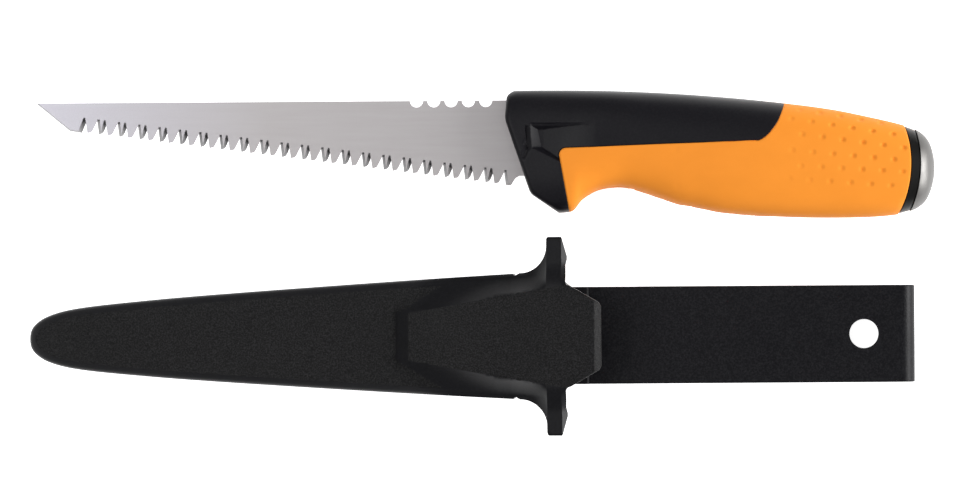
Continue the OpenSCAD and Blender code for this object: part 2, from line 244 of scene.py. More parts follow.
def distance_to(chain, u, v):
    """Distance from (u, v) points to a chain of points."""
    c = np.array(chain, float)
    best = np.full(np.shape(u), 1e9)
    for a, b in zip(c, c[1:]):
        d = b - a
        f = np.clip(((u - a[0]) * d[0] + (v - a[1]) * d[1]) / max(d @ d, 1e-12), 0, 1)
        best = np.minimum(best, np.hypot(u - a[0] - f * d[0], v - a[1] - f * d[1]))
    return best


def edge_drop(d, r):
    """How far a rounded edge of radius r lies below its face, at distance d from the edge."""
    x = np.clip(r - d, 0, r)
    return r - np.sqrt(np.maximum(r * r - x * x, 0))


def smoothstep(x, low, high):
    f = np.clip((x - low) / (high - low), 0, 1)
    return f * f * (3 - 2 * f)


def eased(n):
    """n + 1 shares from 0 to 1, close together at 0."""
    return 1 - np.cos(np.linspace(0, math.pi / 2, n + 1))


def eased_both(n):
    """n + 1 shares from 0 to 1, close together at both ends."""
    return (1 - np.cos(np.linspace(0, math.pi, n + 1))) / 2


# ---------- meshes ----------

def new_object(name, bm, place, sharp=32):
    """A finished object from a bmesh and the matrix that takes it to its place in metres."""
    bmesh.ops.recalc_face_normals(bm, faces=bm.faces)
    mesh = bpy.data.meshes.new(name)
    bm.to_mesh(mesh)
    bm.free()
    mesh.transform(place)
    mesh.shade_smooth()
    mesh.set_sharp_from_angle(angle=math.radians(sharp))
    obj = bpy.data.objects.new(name, mesh)
    bpy.context.scene.collection.objects.link(obj)
    return obj


def flat_grid(blocks):
    """One flat mesh from grids of (x, y) points, joined where their points meet."""
    bm = bmesh.new()
    for points in blocks:
        verts = [[bm.verts.new((p[0], p[1], 0)) for p in row] for row in points]
        for a, b in zip(verts, verts[1:]):
            for k in range(len(a) - 1):
                bm.faces.new((a[k], b[k], b[k + 1], a[k + 1]))
    bmesh.ops.remove_doubles(bm, verts=bm.verts, dist=0.004)
    return bm


def refine(bm, inside, cuts):
    """Cuts the faces more finely where inside(x, y) is true."""
    edges = [e for e in bm.edges if all(inside(v.co.x, v.co.y) for v in e.verts)]
    bmesh.ops.subdivide_edges(bm, edges=edges, cuts=cuts, use_grid_fill=True)


def facing_up(flat):
    """The corner numbers of each face of a flat mesh, all in anticlockwise order."""
    flat.verts.index_update()
    faces = []
    for face in flat.faces:
        face.normal_update()
        ids = [v.index for v in face.verts]
        faces.append(ids if face.normal.z >= 0 else ids[::-1])
    return faces


def open_edges(faces):
    """The directed edges that have no face on their other side."""
    edges = dict.fromkeys((a, b) for ids in faces for a, b in zip(ids, ids[1:] + ids[:1]))
    return [(a, b) for a, b in edges if (b, a) not in edges]


def raised(flat, top, bottom, keep_level=True):
    """A solid over a flat mesh, from bottom(x, y) to top(x, y), with walls round its edges.

    Where top and bottom meet there is no solid. Without keep_level, the faces that lie at height 0 are left
    out, so that a mirrored copy closes the shape."""
    faces = facing_up(flat)
    x = np.array([v.co.x for v in flat.verts])
    y = np.array([v.co.y for v in flat.verts])
    flat.free()
    high = top(x, y)
    low = np.minimum(bottom(x, y), high)
    bm = bmesh.new()
    up = [bm.verts.new(p) for p in zip(x, y, high)]
    down = [bm.verts.new(p) for p in zip(x, y, low)]
    solid = [ids for ids in faces if max(high[i] - low[i] for i in ids) >= 1e-4]
    for ids in solid:
        bm.faces.new([up[i] for i in ids])
        if keep_level or max(abs(low[i]) for i in ids) > 1e-6:
            bm.faces.new([down[i] for i in reversed(ids)])
    for a, b in open_edges(solid):
        if max(high[a] - low[a], high[b] - low[b]) > 1e-4:
            bm.faces.new((up[b], up[a], down[a], down[b]))
    bmesh.ops.remove_doubles(bm, verts=bm.verts, dist=0.002)
    loose = [v for v in bm.verts if not v.link_faces]
    bmesh.ops.delete(bm, geom=loose, context="VERTS")
    return bm


def mirrored_whole(bm):
    """Adds the mirror image in t and joins the two along t = 0."""
    made = bmesh.ops.duplicate(bm, geom=bm.verts[:] + bm.edges[:] + bm.faces[:])["geom"]
    verts = [g for g in made if isinstance(g, bmesh.types.BMVert)]
    bmesh.ops.scale(bm, vec=(1, 1, -1), verts=verts)
    bmesh.ops.reverse_faces(bm, faces=[g for g in made if isinstance(g, bmesh.types.BMFace)])
    bmesh.ops.remove_doubles(bm, verts=bm.verts, dist=0.002)
    return bm


def skinned(rings):
    """A closed solid through rings of points. A ring of one point closes an end."""
    bm = bmesh.new()
    made = [[bm.verts.new(p) for p in ring] for ring in rings]
    for a, b in zip(made, made[1:]):
        n = max(len(a), len(b))
        for k in range(n):
            corners = [a[k % len(a)], a[(k + 1) % len(a)], b[(k + 1) % len(b)], b[k % len(b)]]
            bm.faces.new(list(dict.fromkeys(corners)))
    return bm


# ---------- blade ----------

def tip_v(u):
    """The line that the tooth points lie on."""
    return TIP_START + TIP_SLOPE * u


def tooth_at(i):
    """The corner of tooth i's point. Odd teeth are ground on the near face, even ones on the far face."""
    u = TOOTH_START + i * TOOTH_PITCH - (0 if i % 2 else TOOTH_STAGGER)
    return (u, tip_v(u))


def tooth_outline(i):
    """The point's corner, the rest of its blunt end and the gullet behind it."""
    u, v = tooth_at(i)
    shape = GROUND_NEAR if i % 2 else GROUND_FAR
    return [(u, v)] + [(u + du, v + dv) for du, dv in shape]


def gullet(i):
    """The bottom of the gullet before tooth i."""
    return tooth_outline(i - 1)[-1]


def spine_run(start, end):
    """The spine from one u to the next, down and round through any thumb notch on the way."""
    points = [(start, spine_v(start))]
    for i in range(NOTCH_COUNT):
        middle = NOTCH_START + i * NOTCH_PITCH
        for u, v in arc((middle, 0), NOTCH_R, -180, 0, 18):
            if start + 0.01 < u < end - 0.01:
                points.append((u, v))
    return points + [(end, spine_v(end))]


def spine_v(u):
    """The spine, which is at 0 except in the thumb notches."""
    reach = [NOTCH_R ** 2 - (u - NOTCH_START - i * NOTCH_PITCH) ** 2 for i in range(NOTCH_COUNT)]
    return -math.sqrt(max(reach + [0]))


class Plate:
    """A flat plate in the making. Its points are named by place and side, so faces share them."""

    def __init__(self):
        self.bm = bmesh.new()
        self.verts = {}

    def face(self, points, side=None, ground=False):
        """A face through (u, v) points on one side, or through (u, v, side) points."""
        corners = []
        for p in points:
            key = (round(p[0], 4), round(p[1], 4), side or p[2])
            if key not in self.verts:
                self.verts[key] = self.bm.verts.new((p[0], p[1], key[2] * BLADE_HALF))
            corners.append(self.verts[key])
        made = self.bm.faces.new(corners)
        made.material_index = 1 if ground else 0

    def wall(self, a, b):
        self.face([(*a, 1), (*b, 1), (*b, -1), (*a, -1)])

    # Ground facets take the darker ground steel. Its dark tone is painted shade over their own ground finish.
    def facet(self, *points):
        self.face(points, ground=True)


def shoulder(u):
    """The place on the shoulder line at u."""
    return (u, tip_v(u) + SHOULDER)


def tooth_head(i):
    """A place on the shoulder line above tooth i."""
    return shoulder(tooth_at(i)[0] + 0.9)


def tooth_face(plate, i):
    """Both faces of the plate at tooth i, up to its shoulder line."""
    side = 1 if i % 2 else -1
    before, after, head = gullet(i), gullet(i + 1), tooth_head(i)
    low, high = shoulder(before[0]), shoulder(after[0])
    u, v = tooth_at(i)
    outer, left, wedge = [(u + du, v + dv) for du, dv in FACET_AHEAD]
    tooth_left(plate, side, before, (u, v), [outer, left, wedge])
    plate.face([low, before, outer], side)
    plate.face([low, outer, left, head], side)
    plate.face([low, before, (u, v), head], -side)
    if i == TOOTH_COUNT - 1:
        blade_heel(plate, side, head, (u, v), left, wedge)
        return
    a, b, corner, _ = tooth_outline(i)
    right, last = [(after[0] + du, v + dv) for du, dv in FACET_BEHIND]
    plate.face([head, left, wedge, right], side)
    plate.face([head, right, last, high], side)
    plate.face([last, after, high], side)
    plate.face([head, a, b, corner], -side)
    plate.face([head, corner, after, high], -side)
    plate.facet((*a, -side), (*b, -side), (*wedge, side))
    plate.facet((*b, -side), (*corner, -side), (*wedge, side))
    tooth_right(plate, side, corner, after, [wedge, right, last])


def tooth_left(plate, side, before, a, tops):
    """Ground facet on the leading edge of a tooth."""
    corner = (*before, -side)
    chain = [(*a, -side)] + [(*p, side) for p in reversed(tops)] + [(*before, side)]
    for p, q in zip(chain, chain[1:]):
        plate.facet(corner, p, q)


def tooth_right(plate, side, corner, after, tops):
    """Ground facet on the trailing edge of a tooth."""
    wedge, right, last = ((*p, side) for p in tops)
    end = (*after, -side)
    plate.facet((*corner, -side), right, wedge)
    plate.facet((*corner, -side), end, right)
    plate.facet(end, last, right)
    plate.facet(end, (*after, side), last)


def blade_heel(plate, side, head, a, left, wedge):
    """The end of the toothed edge and the tang behind it."""
    rest = HEEL + TANG + spine_run(head[0], TANG[-1][0])[-2::-1]
    plate.face([head, left, wedge] + rest, side)
    plate.face([head, a] + rest, -side)
    # The last tooth's end facets take the plain steel, without the painted shade of the ground facets.
    plate.face([(*a, -side), (*HEEL[0], -side), (*wedge, side)])
    plate.face([(*HEEL[0], -side), (*HEEL[0], side), (*wedge, side)])
    for p, q in zip(rest, rest[1:]):
        plate.wall(p, q)


def tip_face(plate):
    """The slanting tip, with a thin ground edge and the first half tooth behind it."""
    end = gullet(0)
    high, near, far = shoulder(end[0]), (end[0], spine_v(end[0])), (0.0, 0.0)
    wedge, right, last = TIP_FACET
    plate.face([BEVEL_TOP, BEVEL_FOOT, wedge, right, last, end, high, near], 1)
    plate.face([far, TIP_CORNER, TIP_HEEL, end, high, near, BEVEL_TOP], -1)
    plate.facet((*far, -1), (*TIP_CORNER, -1), (*BEVEL_FOOT, 1), (*BEVEL_TOP, 1))
    plate.facet((*TIP_CORNER, -1), (*TIP_HEEL, -1), (*wedge, 1), (*BEVEL_FOOT, 1))
    plate.facet((*far, -1), (*BEVEL_TOP, 1), (*BEVEL_TOP, -1))
    tooth_right(plate, 1, TIP_HEEL, end, [wedge, right, last])
    plate.wall(BEVEL_TOP, near)


def plate_column(plate, start, end):
    """The plate between two places on the shoulder line and the spine above them."""
    run = spine_run(start, end)
    foot = [shoulder(end), shoulder(start)]
    for side in (1, -1):
        plate.face(run + foot, side)
    for p, q in zip(run, run[1:]):
        plate.wall(p, q)


def build_blade():
    plate = Plate()
    tip_face(plate)
    for i in range(TOOTH_COUNT):
        tooth_face(plate, i)
        plate_column(plate, gullet(i)[0], tooth_head(i)[0])
        if i < TOOTH_COUNT - 1:
            plate_column(plate, tooth_head(i)[0], gullet(i + 1)[0])
    bmesh.ops.triangulate(plate.bm, faces=[f for f in plate.bm.faces if len(f.verts) > 4])
    return new_object("blade", plate.bm, SAW, sharp=12)


# ---------- handle ----------

def fullness(u):
    """Exponent of the handle's cross-section: boxier at the bolster, rounder over the palm."""
    return 2 / (0.62 + 0.10 * smoothstep(u, 182, 200))


def cheek(u, v, inset=0.0):
    """Half thickness of the handle at (u, v)."""
    top = line_at(TOP_LINE, u) - inset
    low = line_at(BOTTOM_LINE, u) + inset
    half = np.maximum(line_at(HALF_THICK, u) - inset, 0)
    n = fullness(u)
    q = np.clip(np.abs(v - (top + low) / 2) / np.maximum((top - low) / 2, 0.01), 0, 1)
    return half * (1 - q ** n) ** (1 / n)


def seam_foot():
    """The seam's start on the bottom line and the end of its left run."""
    return [(SEAM_FOOT_U, float(line_at(BOTTOM_LINE, SEAM_FOOT_U))), (169.25, -19.0)]


def seam_corner():
    return arc((171.3, -17.8), 2.2, 200, 92, 8)


def seam_rear():
    """The seam's long run under the top strip and its rise to the top line."""
    run = smoothed([(231.5, -13.7), (233.6, -13.6), (235.3, -12.7), (237.4, -10.6), (239.4, -7.8),
                    (240.9, -4.5), (SEAM_END_U, float(line_at(TOP_LINE, SEAM_END_U)))])
    return [(171.22, -15.6), (200, -14.6), (224, -13.9)] + [tuple(p) for p in run]


def seam_chain():
    """The parting line between bolster and grip, and where along it the grip's corner is."""
    foot = along(seam_foot(), eased(LEFT_CUTS))
    corner = np.array(seam_corner())
    rear = along(seam_rear(), np.linspace(0, 1, TOP_CUTS + 1))
    return np.vstack([foot[:-1], corner[:-1], rear]), LEFT_CUTS + CORNER_CUTS // 2


def bolster_front():
    """The slanting front of the bolster, from its foot to its top."""
    foot = (FRONT_FOOT_U, float(line_at(BOTTOM_LINE, FRONT_FOOT_U)))
    top = (FRONT_TOP_U, float(line_at(TOP_LINE, FRONT_TOP_U)))
    return rounded([foot, (159.8, -30.2), (151.65, -6.1), (152.25, 1.7), top], [1.2, 0.9, 1.5])


def outer_chain():
    """The bolster's outline, point for point with the seam."""
    front = along(bolster_front(), np.concatenate([eased(LEFT_CUTS)[:-1] * 0.80,
                                                   np.linspace(0.80, 1, CORNER_CUTS, endpoint=False)]))
    u = FRONT_TOP_U + (SEAM_END_U - FRONT_TOP_U) * np.linspace(0, 1, TOP_CUTS + 1)
    return np.vstack([front, np.stack([u, line_at(TOP_LINE, u)], 1)])


SEAM, SEAM_TURN = seam_chain()
OUTER = outer_chain()


def band_block(lap):
    """Grid between the bolster's outline and the seam. With lap, one more row dives under the grip."""
    shares = eased(36)
    rows = []
    for o, i in zip(OUTER, SEAM):
        width = np.linalg.norm(i - o)
        near = SEAM_ROWS * min(1, width / 4)
        at = np.concatenate([shares[:-1] * max(width - near[0], 0), width - near])
        direction = (i - o) / max(width, 1e-9)
        row = [o + direction * a for a in at]
        if lap:
            row.append(i + direction * UNDER_LAP * min(1, width))
        rows.append(row)
    rows = np.array(rows)
    rows[0, :, 1] = line_at(BOTTOM_LINE, rows[0, :, 0])
    return rows


def coons(left, right, low, high):
    """Grid filling four chains of points."""
    n, m = len(low), len(left)
    x = np.linspace(0, 1, n)[:, None, None]
    y = np.linspace(0, 1, m)[None, :, None]
    left, right, low, high = (np.array(c, float) for c in (left, right, low, high))
    ruled = (1 - y) * low[:, None] + y * high[:, None] + (1 - x) * left[None] + x * right[None]
    corners = ((1 - x) * (1 - y) * low[0] + x * (1 - y) * low[-1]
               + (1 - x) * y * high[0] + x * y * high[-1])
    return ruled - corners


def silhouette(line, start, end, shares):
    """Points along the top or bottom line, at shares of the way from one u to another."""
    u = start + (end - start) * np.asarray(shares)
    return np.stack([u, line_at(line, u)], 1)


def grip_blocks(lap=0.0):
    """Grids of the part under the grip: ahead of the seam's rear end, and behind it up to the collar."""
    chain = SEAM.copy()
    if lap:
        outward = SEAM - OUTER
        width = np.linalg.norm(outward, axis=1)[:, None]
        chain = SEAM + outward / np.maximum(width, 1e-9) * lap * np.minimum(1, width)
        chain[0, 1] = line_at(BOTTOM_LINE, chain[0, 0])
    left, top = chain[:SEAM_TURN + 1], chain[SEAM_TURN:]
    foot_u = 239.5
    share = (top[:, 0] - top[0, 0]) / (top[-1, 0] - top[0, 0])
    low = silhouette(BOTTOM_LINE, left[0, 0], foot_u, share)
    rear_line = [low[-1], (240.5, -34), (241.8, -12), top[-1]]
    right = along(smoothed(rear_line, 8), eased_both(len(left) - 1))
    ahead = coons(left, right, low, top)
    end_arc = collar_arc(COLLAR_R, len(left))
    behind_cuts = np.linspace(0, 1, 40)
    behind = coons(right, end_arc, silhouette(BOTTOM_LINE, low[-1][0], end_arc[0][0], behind_cuts),
                   silhouette(TOP_LINE, top[-1][0], end_arc[-1][0], behind_cuts))
    return [ahead, behind]


def crossing(low, high, before):
    """The place between low and high where before(u) stops being true."""
    for _ in range(40):
        u = (low + high) / 2
        low, high = (u, high) if before(u) else (low, u)
    return u


def arc_meets(line, r):
    """Where a parting circle about the cap's axis crosses the top or bottom line."""
    def within(u):
        return math.hypot(u - CAP_AXIS[0], float(line_at(line, u)) - CAP_AXIS[1]) < r

    u = crossing(CAP_AXIS[0] + 0.3 * r, CAP_AXIS[0] + r, within)
    return (u, float(line_at(line, u)))


def collar_arc(r, n):
    """n points on a parting circle, from the bottom line to the top line."""
    foot, head = arc_meets(BOTTOM_LINE, r), arc_meets(TOP_LINE, r)
    start = math.atan2(foot[1] - CAP_AXIS[1], foot[0] - CAP_AXIS[0])
    end = math.atan2(head[1] - CAP_AXIS[1], head[0] - CAP_AXIS[0])
    turns = start + (end - start) * eased_both(n - 1)
    return np.stack([CAP_AXIS[0] + r * np.cos(turns), CAP_AXIS[1] + r * np.sin(turns)], 1)


def catch_pocket(u, v):
    """Depth of the pocket that the sheath's catch drops into: a steep face, a long ramp and two sides."""
    crest = POCKET_CREST + 0.06 * (-9.0 - v)
    steep = (u - crest) / (2.4 + 0.16 * (-9.0 - v)) * POCKET_DEPTH
    ramp = np.clip((POCKET_END - u) / 16.8, 0, 2) ** 1.5 * POCKET_DEPTH
    upper = (POCKET_TOP - v) * 1.25
    lower = (v + 15.9 + 0.52 * np.maximum(u - 161.2, 0)) * 1.1
    pocket = np.clip(np.minimum(np.minimum(steep, ramp), np.minimum(upper, lower)), 0, POCKET_DEPTH)
    slit = 0.5 * np.exp(-((v + 7.85) / 0.3) ** 2) * smoothstep(u, 159.4, 160.6)
    slit = slit * np.clip((POCKET_END - u) / 12, 0, 1)
    behind = np.where(u > crest - 1.6, np.clip((crest - u) / 1.6, 0, 1), 0)
    behind = behind * smoothstep(v, -16.6, -15.6) * (1 - smoothstep(v, -8.9, -8.2))
    marks = 0.7 * behind
    for chain in ([(159.0, -12.8), (158.2, -14.4)], [(158.4, -16.4), (157.6, -18.2)]):
        marks = np.maximum(marks, 0.45 * smoothstep(1.1 - distance_to(chain, u, v), 0, 1.1))
    return pocket + slit + marks


def bolster_top(u, v, pocket):
    """Outside of a core half where it shows."""
    z = cheek(u, v) - edge_drop(distance_to(SEAM, u, v), 0.35)
    front = distance_to(bolster_front(), u, v)
    z = z - edge_drop(front, 1.5) * np.clip(z / 6, 0, 1)
    if pocket:
        z = z - catch_pocket(u, v)
    return np.maximum(z, 0)


def tang_slot(u, v):
    """The recess in each half that takes its share of the blade's thickness."""
    high = np.where(u < 164, 0, np.interp(u, [164, 178, 284], [0, -4.5, -18.3]))
    low = np.interp(u, [170, 178, 284], [-24.5, -21.5, -24.7])
    inside = (v < high + 0.05) & (v > low - 0.05) & (u < 284.1)
    return np.where(inside, BLADE_HALF, 0.0)


def build_core(name, pocket):
    """One black half: its face where it shows, and its body under the grip."""
    flat = flat_grid([band_block(True)] + grip_blocks(UNDER_LAP))
    if pocket:
        refine(flat, lambda u, v: 156.5 < u < 182 and -20.5 < v < -6.2, 3)
    shown = UNDER_LAP / 2

    def top(u, v):
        past = under_grip(u, v)
        return np.where(past > shown, cheek(u, v, GRIP_SKIN), bolster_top(u, v, pocket))

    bm = raised(flat, top, tang_slot)
    if not pocket:
        bmesh.ops.scale(bm, vec=(1, 1, -1), verts=bm.verts)
    return new_object(name, bm, SAW)


def under_grip(u, v):
    """Distance past the seam into the grip's area, or 0 outside it."""
    outline = np.vstack([SEAM, [(320, 30), (320, -60), (SEAM[0, 0] + 1, -60)]])
    inside = np.zeros(np.shape(u), bool)
    for a, b in zip(outline, np.roll(outline, -1, axis=0)):
        crosses = (a[1] > v) != (b[1] > v)
        with np.errstate(divide="ignore", invalid="ignore"):
            cut = a[0] + (v - a[1]) * (b[0] - a[0]) / (b[1] - a[1])
        inside ^= crosses & (u < cut)
    return np.where(inside, distance_to(SEAM, u, v), 0)


def dimples():
    """Centres and strengths of the field of dimples, stronger towards the top and the rear."""
    found = []
    for row, (start, v_at, slope) in enumerate(DIMPLE_ROWS):
        for k in range(-1, 6):
            u = start + DIMPLE_PITCH * k
            v = v_at + slope * (u - 250)
            if math.hypot(u - CAP_AXIS[0], v - CAP_AXIS[1]) < COLLAR_R - 1.2:
                found.append((u, v, min(1, 0.45 + (u - 244) / 40) * (1 - 0.08 * row)))
    return found


def grip_top(u, v):
    """Outside of the grip, with rounded edges and its dimples."""
    z = cheek(u, v) - edge_drop(distance_to(SEAM, u, v), 0.35)
    z = z - edge_drop(np.abs(COLLAR_R - np.hypot(u - CAP_AXIS[0], v - CAP_AXIS[1])), 0.4)
    for du, dv, strength in dimples():
        d = np.hypot((u - du) / DIMPLE_SIZE[0], (v - dv) / DIMPLE_SIZE[1])
        z = z - DIMPLE_DEPTH * strength * np.clip(1 - d * d, 0, 1) ** 1.5
    return np.maximum(z, 0)


def build_grip():
    flat = flat_grid(grip_blocks())
    refine(flat, lambda u, v: u > 242.5 and v < float(line_at(TOP_LINE, u)) - 0.6 and v > -33, 2)
    bm = raised(flat, grip_top, lambda u, v: cheek(u, v, GRIP_SKIN), keep_level=False)
    return new_object("grip", mirrored_whole(bm), SAW)


def box_point(k, high, wide, power):
    """Point k of a rounded box about its middle, from its half height, half width and roundness."""
    a = 2 * math.pi * (k + 0.5) / RING_N
    s, c = math.sin(a), math.cos(a)
    return (high * math.copysign(abs(s) ** power, s), wide * math.copysign(abs(c) ** power, c))


def section(u, k, inset=0.0):
    """Point k of the handle's cross-section at u."""
    top = float(line_at(TOP_LINE, u)) - inset
    low = float(line_at(BOTTOM_LINE, u)) + inset
    half = float(line_at(HALF_THICK, u)) - inset
    v, t = box_point(k, (top - low) / 2, half, 2 / float(fullness(u)))
    return ((top + low) / 2 + v, t)


def parting_u(v, r):
    """Where a parting cylinder about the cap's axis is, at height v."""
    return CAP_AXIS[0] + math.sqrt(max(r * r - (v - CAP_AXIS[1]) ** 2, 0))


def parted(k, r, inset=0.0):
    """Where point k of the cross-section meets a parting cylinder."""
    return crossing(262.0, 290.0, lambda u: u < parting_u(section(u, k, inset)[0], r))


def parting_ring(r, inset=0.0):
    """The handle's cross-section where a parting cylinder cuts it."""
    cuts = [parted(k, r, inset) for k in range(RING_N)]
    return [(u, *section(u, k, inset)) for k, u in enumerate(cuts)]


def shank_ring(u=None, r=None, grow=0.0):
    """The shank's rounded rectangle, at one place along the saw or on a parting cylinder."""
    ring = []
    for k in range(RING_N):
        v, t = box_point(k, SHANK_HALF[0] + grow, SHANK_HALF[1] + grow, 0.25)
        v += SHANK_V
        ring.append((parting_u(v, r) if u is None else u, v, t))
    return ring


def between(a, b, share, r=None):
    """Ring between two rings. With r, it lies on that parting cylinder."""
    ring = []
    for p, q in zip(a, b):
        m = [x + (y - x) * share for x, y in zip(p, q)]
        if r:
            m[0] = parting_u(m[1], r)
        ring.append(tuple(m))
    return ring


def build_collar():
    """The black ring between the grip and the cap, with a hole for the shank."""
    inset = 0.25
    front, back = parting_ring(COLLAR_R + 0.02, inset), parting_ring(CAP_R - 0.02, inset)
    front_in = parting_ring(COLLAR_R + 0.02, inset + 0.35)
    back_in = parting_ring(CAP_R - 0.02, inset + 0.35)
    hole_front, hole_back = shank_ring(r=COLLAR_R + 0.02, grow=0.1), shank_ring(r=CAP_R - 0.02, grow=0.1)
    outside = [between(front, back, f) for f in (0.12, 0.35, 0.65, 0.88)]
    into_front = [between(front_in, hole_front, f, COLLAR_R + 0.02) for f in (0.4, 0.8)]
    into_back = [between(back_in, hole_back, f, CAP_R - 0.02) for f in (0.8, 0.4)]
    rings = [hole_front] + into_front[::-1] + [front_in] + outside + [back_in] + into_back[::-1]
    rings += [hole_back, hole_front]
    bm = skinned(rings)
    bmesh.ops.remove_doubles(bm, verts=bm.verts, dist=0.001)
    return new_object("collar", bm, SAW)


def build_cap():
    """The domed steel cap with its rounded shoulder, and the shank that runs into the handle."""
    reach = CAP_END - 0.2
    edge = parting_ring(CAP_R + 0.02)
    edge_in = parting_ring(CAP_R + 0.02, 0.3)
    starts = [p[0] for p in edge]
    dome = []
    for f in np.concatenate([[0.05], 1 - (1 - np.linspace(0.12, 1, 16)) ** 1.6]):
        dome.append([(u + (reach - u) * f, *section(u + (reach - u) * f, k)) for k, u in enumerate(starts)])
    middle = (-22.6, 0.0)
    last = dome[-1]
    for share, back in ((0.8, 0.12), (0.55, 0.06), (0.28, 0.02)):
        dome.append([(CAP_END - back, middle[0] + (p[1] - middle[0]) * share, p[2] * share) for p in last])
    root = shank_ring(r=CAP_R + 0.02)
    into = [between(edge_in, root, f, CAP_R + 0.02) for f in (0.8, 0.4)]
    end = shank_ring(u=SHANK_FROM)
    end_in = [(SHANK_FROM, SHANK_V + (p[1] - SHANK_V) * 0.6, p[2] * 0.6) for p in end]
    rings = [[(SHANK_FROM, SHANK_V, 0.0)], end_in, end, root] + into + [edge_in, edge] + dome
    rings.append([(CAP_END, middle[0], 0.0)])
    return new_object("cap", skinned(rings), SAW)


# ---------- sheath ----------

def rim(s):
    """Half width of the sheath's outline at s, from its round tip to the notches ahead of the guard."""
    roots = [(math.sqrt(p[0]), p[1]) for p in SIDE_LINE]
    return line_at(roots, np.sqrt(np.maximum(s, 0)))


def half_plan():
    """Half of the sheath's outline, from the tip to the foot of the guard's wing."""
    tip = [(s, float(rim(s))) for s in np.linspace(0, math.sqrt(30), 40) ** 2]
    foot = [118.5, 118.95, 119.3, 119.7, 120.4, 121.2, 122.0, 122.7, 123.2, 123.6, 124.2]
    even = [s for s in np.linspace(31, 152, 100) if not 117.9 < s < 124.7]
    side = [(s, float(rim(s))) for s in sorted(even + foot)]
    nick = [(156.4, 20.2), (157.0, 20.25), (157.5, 19.75), (158.1, 19.65), (158.7, 20.1), (159.3, 20.4)]
    fillet = arc((GUARD_S - 8.8, 29.2), 8.8, -86, 0, 26)
    return tip + side + nick + fillet


def pad_edge(s):
    """Half width of the pad and, beyond the mouth, of the tongue."""
    return np.interp(s, [0, 14, PAD_S - 0.6, 123.4, 140, 154, GUARD_S, BODY_LEN - 1],
                     [0, 3.0, 7.7, 7.6, 10.6, 13.2, 15.5, 16.6])


def column(outer, border, s, cuts=(18, 12, 5)):
    """One line of points across the sheath, from its middle out, then mirrored to the other side."""
    edge = min(float(pad_edge(s)), 0.7 * max(border[1], 0.001))
    inner = [(s, edge * k / cuts[0]) for k in range(cuts[0])]
    middle = [(s, edge + (border[1] - edge) * k / cuts[1]) for k in range(cuts[1])]
    rim_part = [(border[0] + (outer[0] - border[0]) * k / cuts[2],
                 border[1] + (outer[1] - border[1]) * k / cuts[2]) for k in range(cuts[2] + 1)]
    half = inner + middle + rim_part
    return [(x, -y) for x, y in half[:0:-1]] + half


def body_columns():
    """Columns of the sheath's body, closer together round the tip, the pad's foot and the guard."""
    plan = np.array(half_plan())
    ahead, behind = np.roll(plan, 1, axis=0), np.roll(plan, -1, axis=0)
    ahead[0], behind[-1] = (plan[1][0], -plan[1][1]), plan[-1] + (0, 1)
    way = behind - ahead
    way = way / np.linalg.norm(way, axis=1)[:, None]
    inward = np.stack([way[:, 1], -way[:, 0]], 1)
    keep_s = plan[:, 0] > 150
    depth = np.where(keep_s, BORDER + (plan[:, 0] - 150) * 0.08, BORDER)
    border = plan + inward * depth[:, None]
    border[keep_s] = np.stack([plan[keep_s, 0], plan[keep_s, 1] - depth[keep_s]], 1)
    blend = np.clip((plan[:, 0] - 120) / 30, 0, 1)[:, None]
    upright = np.stack([plan[:, 0], plan[:, 1] - depth], 1)
    border = border * (1 - blend) + upright * blend
    return [column(p, b, b[0]) for p, b in zip(plan, border)]


def wing_right(w):
    """The guard's right face, as a line s(w)."""
    return np.interp(w, [0, 15.75, 17.4, 23, 25.3, 32.05], [175.3, 175.3, 174.5, 174.5, 175.1, 173.2])


def upright_guard(bm):
    """Leans the guard's wings back, so that their ends stand upright although the body leans on its tip."""
    for v in bm.verts:
        s, a, h = v.co.x, abs(v.co.y), v.co.z
        share = smoothstep(s, 152, GUARD_S) * smoothstep(a, 15.9, 17.2) * (s < BODY_LEN + 0.4)
        v.co.x -= float(share) * max(GUARD_RISE - h, 0) * math.tan(LEAN)
    return bm


def guard_columns():
    """Columns of the guard, from the wing's left face to the mouth."""
    columns = []
    edge, face, bevel = np.linspace(0.0, 0.12, 5), np.linspace(0.17, 0.62, 8), np.linspace(0.66, 1, 10)
    for f in np.concatenate([edge, face, bevel]):
        s = GUARD_S + f * (BODY_LEN - GUARD_S)
        reach = GUARD_HALF
        if s < GUARD_S + WING_CORNER:
            reach -= WING_CORNER - math.sqrt(max(WING_CORNER ** 2 - (GUARD_S + WING_CORNER - s) ** 2, 0))
        if s > BODY_LEN - WING_END:
            reach -= WING_END - math.sqrt(max(WING_END ** 2 - (s - BODY_LEN + WING_END) ** 2, 0))
        line = column((s, reach), (s, reach - BORDER - 1.5), s)
        shift = f ** 2
        columns.append([(x + shift * (float(wing_right(abs(y))) - BODY_LEN), y) for x, y in line])
    return columns


def tongue_half(s):
    return float(np.interp(s, *zip(*TONGUE_SIDE)))


def tongue_columns(last):
    """Columns of the tongue, from the mouth to its end. The first one is taken from the guard."""
    middle = len(last) // 2
    count = 18
    first = last[middle - count:middle + count + 1]
    columns = [first]
    face, bevel = np.linspace(178.2, 183.6, 8), np.linspace(183.9, TONGUE_END, 8)
    for s in np.concatenate([[176, 176.7, 177.4], face, bevel]):
        half = tongue_half(s)
        columns.append([(s, half * k / count) for k in range(-count, count + 1)])
    return columns


def plan_distance(s, w):
    """Distance in from the sheath's outline, for the border's bevel."""
    half = np.array(half_plan())
    half = half[half[:, 0] < 156]
    return distance_to(half, s, np.abs(w))


def pad_height(s):
    """Height of the pad's and the tongue's face."""
    return np.interp(s, *zip(*PAD_LINE))


